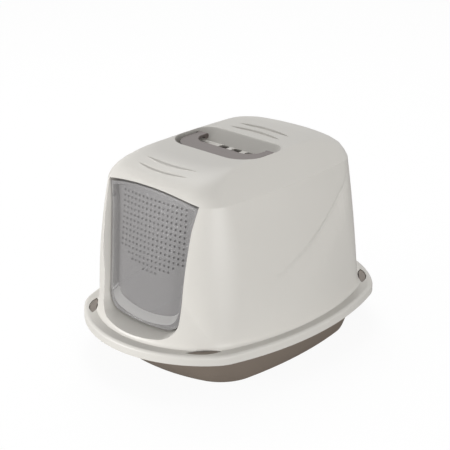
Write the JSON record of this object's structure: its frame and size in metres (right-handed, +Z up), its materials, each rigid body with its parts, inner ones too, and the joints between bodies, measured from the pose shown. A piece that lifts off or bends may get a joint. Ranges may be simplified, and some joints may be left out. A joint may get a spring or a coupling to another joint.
{
  "type": "covered litter box",
  "caption": "Covered litter box: deep tray, lift-off hood with a swinging perforated flap, folding carry handle in the vented roof recess, corner snap clips and odour filter.",
  "frame": {"origin": "on the floor under the middle of the tray", "axes": "+Z up, entrance faces -Y, +X to the right seen from behind the box"},
  "size_m": [0.3318, 0.45, 0.289],
  "materials": {
    "hood_plastic": "satin",
    "tray_plastic": "satin",
    "handle_plastic": "satin",
    "flap_plastic": "translucent satin",
    "cassette_plastic": "satin",
    "filter_felt": "felt"
  },
  "bodies": {
    "tray_body": {"tray": "tray_plastic"},
    "hood_body": {"hood": "hood_plastic"},
    "flap_body": {"door_flap": "flap_plastic"},
    "handle_body": {"carry_handle": "handle_plastic"},
    "cassette_body": {"filter_cassette": "cassette_plastic", "filter_pad": "filter_felt"},
    "clip_front_left_body": {"clip_front_left": "tray_plastic"},
    "clip_front_right_body": {"clip_front_right": "tray_plastic"},
    "clip_rear_right_body": {"clip_rear_right": "tray_plastic"},
    "clip_rear_left_body": {"clip_rear_left": "tray_plastic"}
  },
  "joints": [
    {"name": "hood_lift", "type": "slide", "parent": "tray_body", "child": "hood_body", "axis": [0, 0, 1], "range_m": [0, 0.15]},
    {"name": "flap_swing", "type": "hinge", "parent": "hood_body", "child": "flap_body", "pos_m": [0, -0.1486, 0.231], "axis": [1, 0, 0], "range_deg": [-65, 65]},
    {"name": "handle_fold", "type": "hinge", "parent": "hood_body", "child": "handle_body", "pos_m": [0, 0.01, 0.281], "axis": [-1, 0, 0], "range_deg": [0, 90]},
    {"name": "filter_slide", "type": "slide", "parent": "hood_body", "child": "cassette_body", "axis": [0, -1, 0], "range_m": [0, 0.05]},
    {"name": "clip_front_left_press", "type": "hinge", "parent": "tray_body", "child": "clip_front_left_body", "pos_m": [-0.10655, -0.16811, 0.0539], "axis": [-0.6523, 0.7579, 0], "range_deg": [0, 8], "stiffness_Nm_per_rad": 0.4},
    {"name": "clip_front_right_press", "type": "hinge", "parent": "tray_body", "child": "clip_front_right_body", "pos_m": [0.10655, -0.16811, 0.0539], "axis": [-0.6523, -0.7579, 0], "range_deg": [0, 8], "stiffness_Nm_per_rad": 0.4},
    {"name": "clip_rear_right_press", "type": "hinge", "parent": "tray_body", "child": "clip_rear_right_body", "pos_m": [0.10655, 0.16811, 0.0539], "axis": [0.6523, -0.7579, 0], "range_deg": [0, 8], "stiffness_Nm_per_rad": 0.4},
    {"name": "clip_rear_left_press", "type": "hinge", "parent": "tray_body", "child": "clip_rear_left_body", "pos_m": [-0.10655, 0.16811, 0.0539], "axis": [0.6523, 0.7579, 0], "range_deg": [0, 8], "stiffness_Nm_per_rad": 0.4}
  ]
}
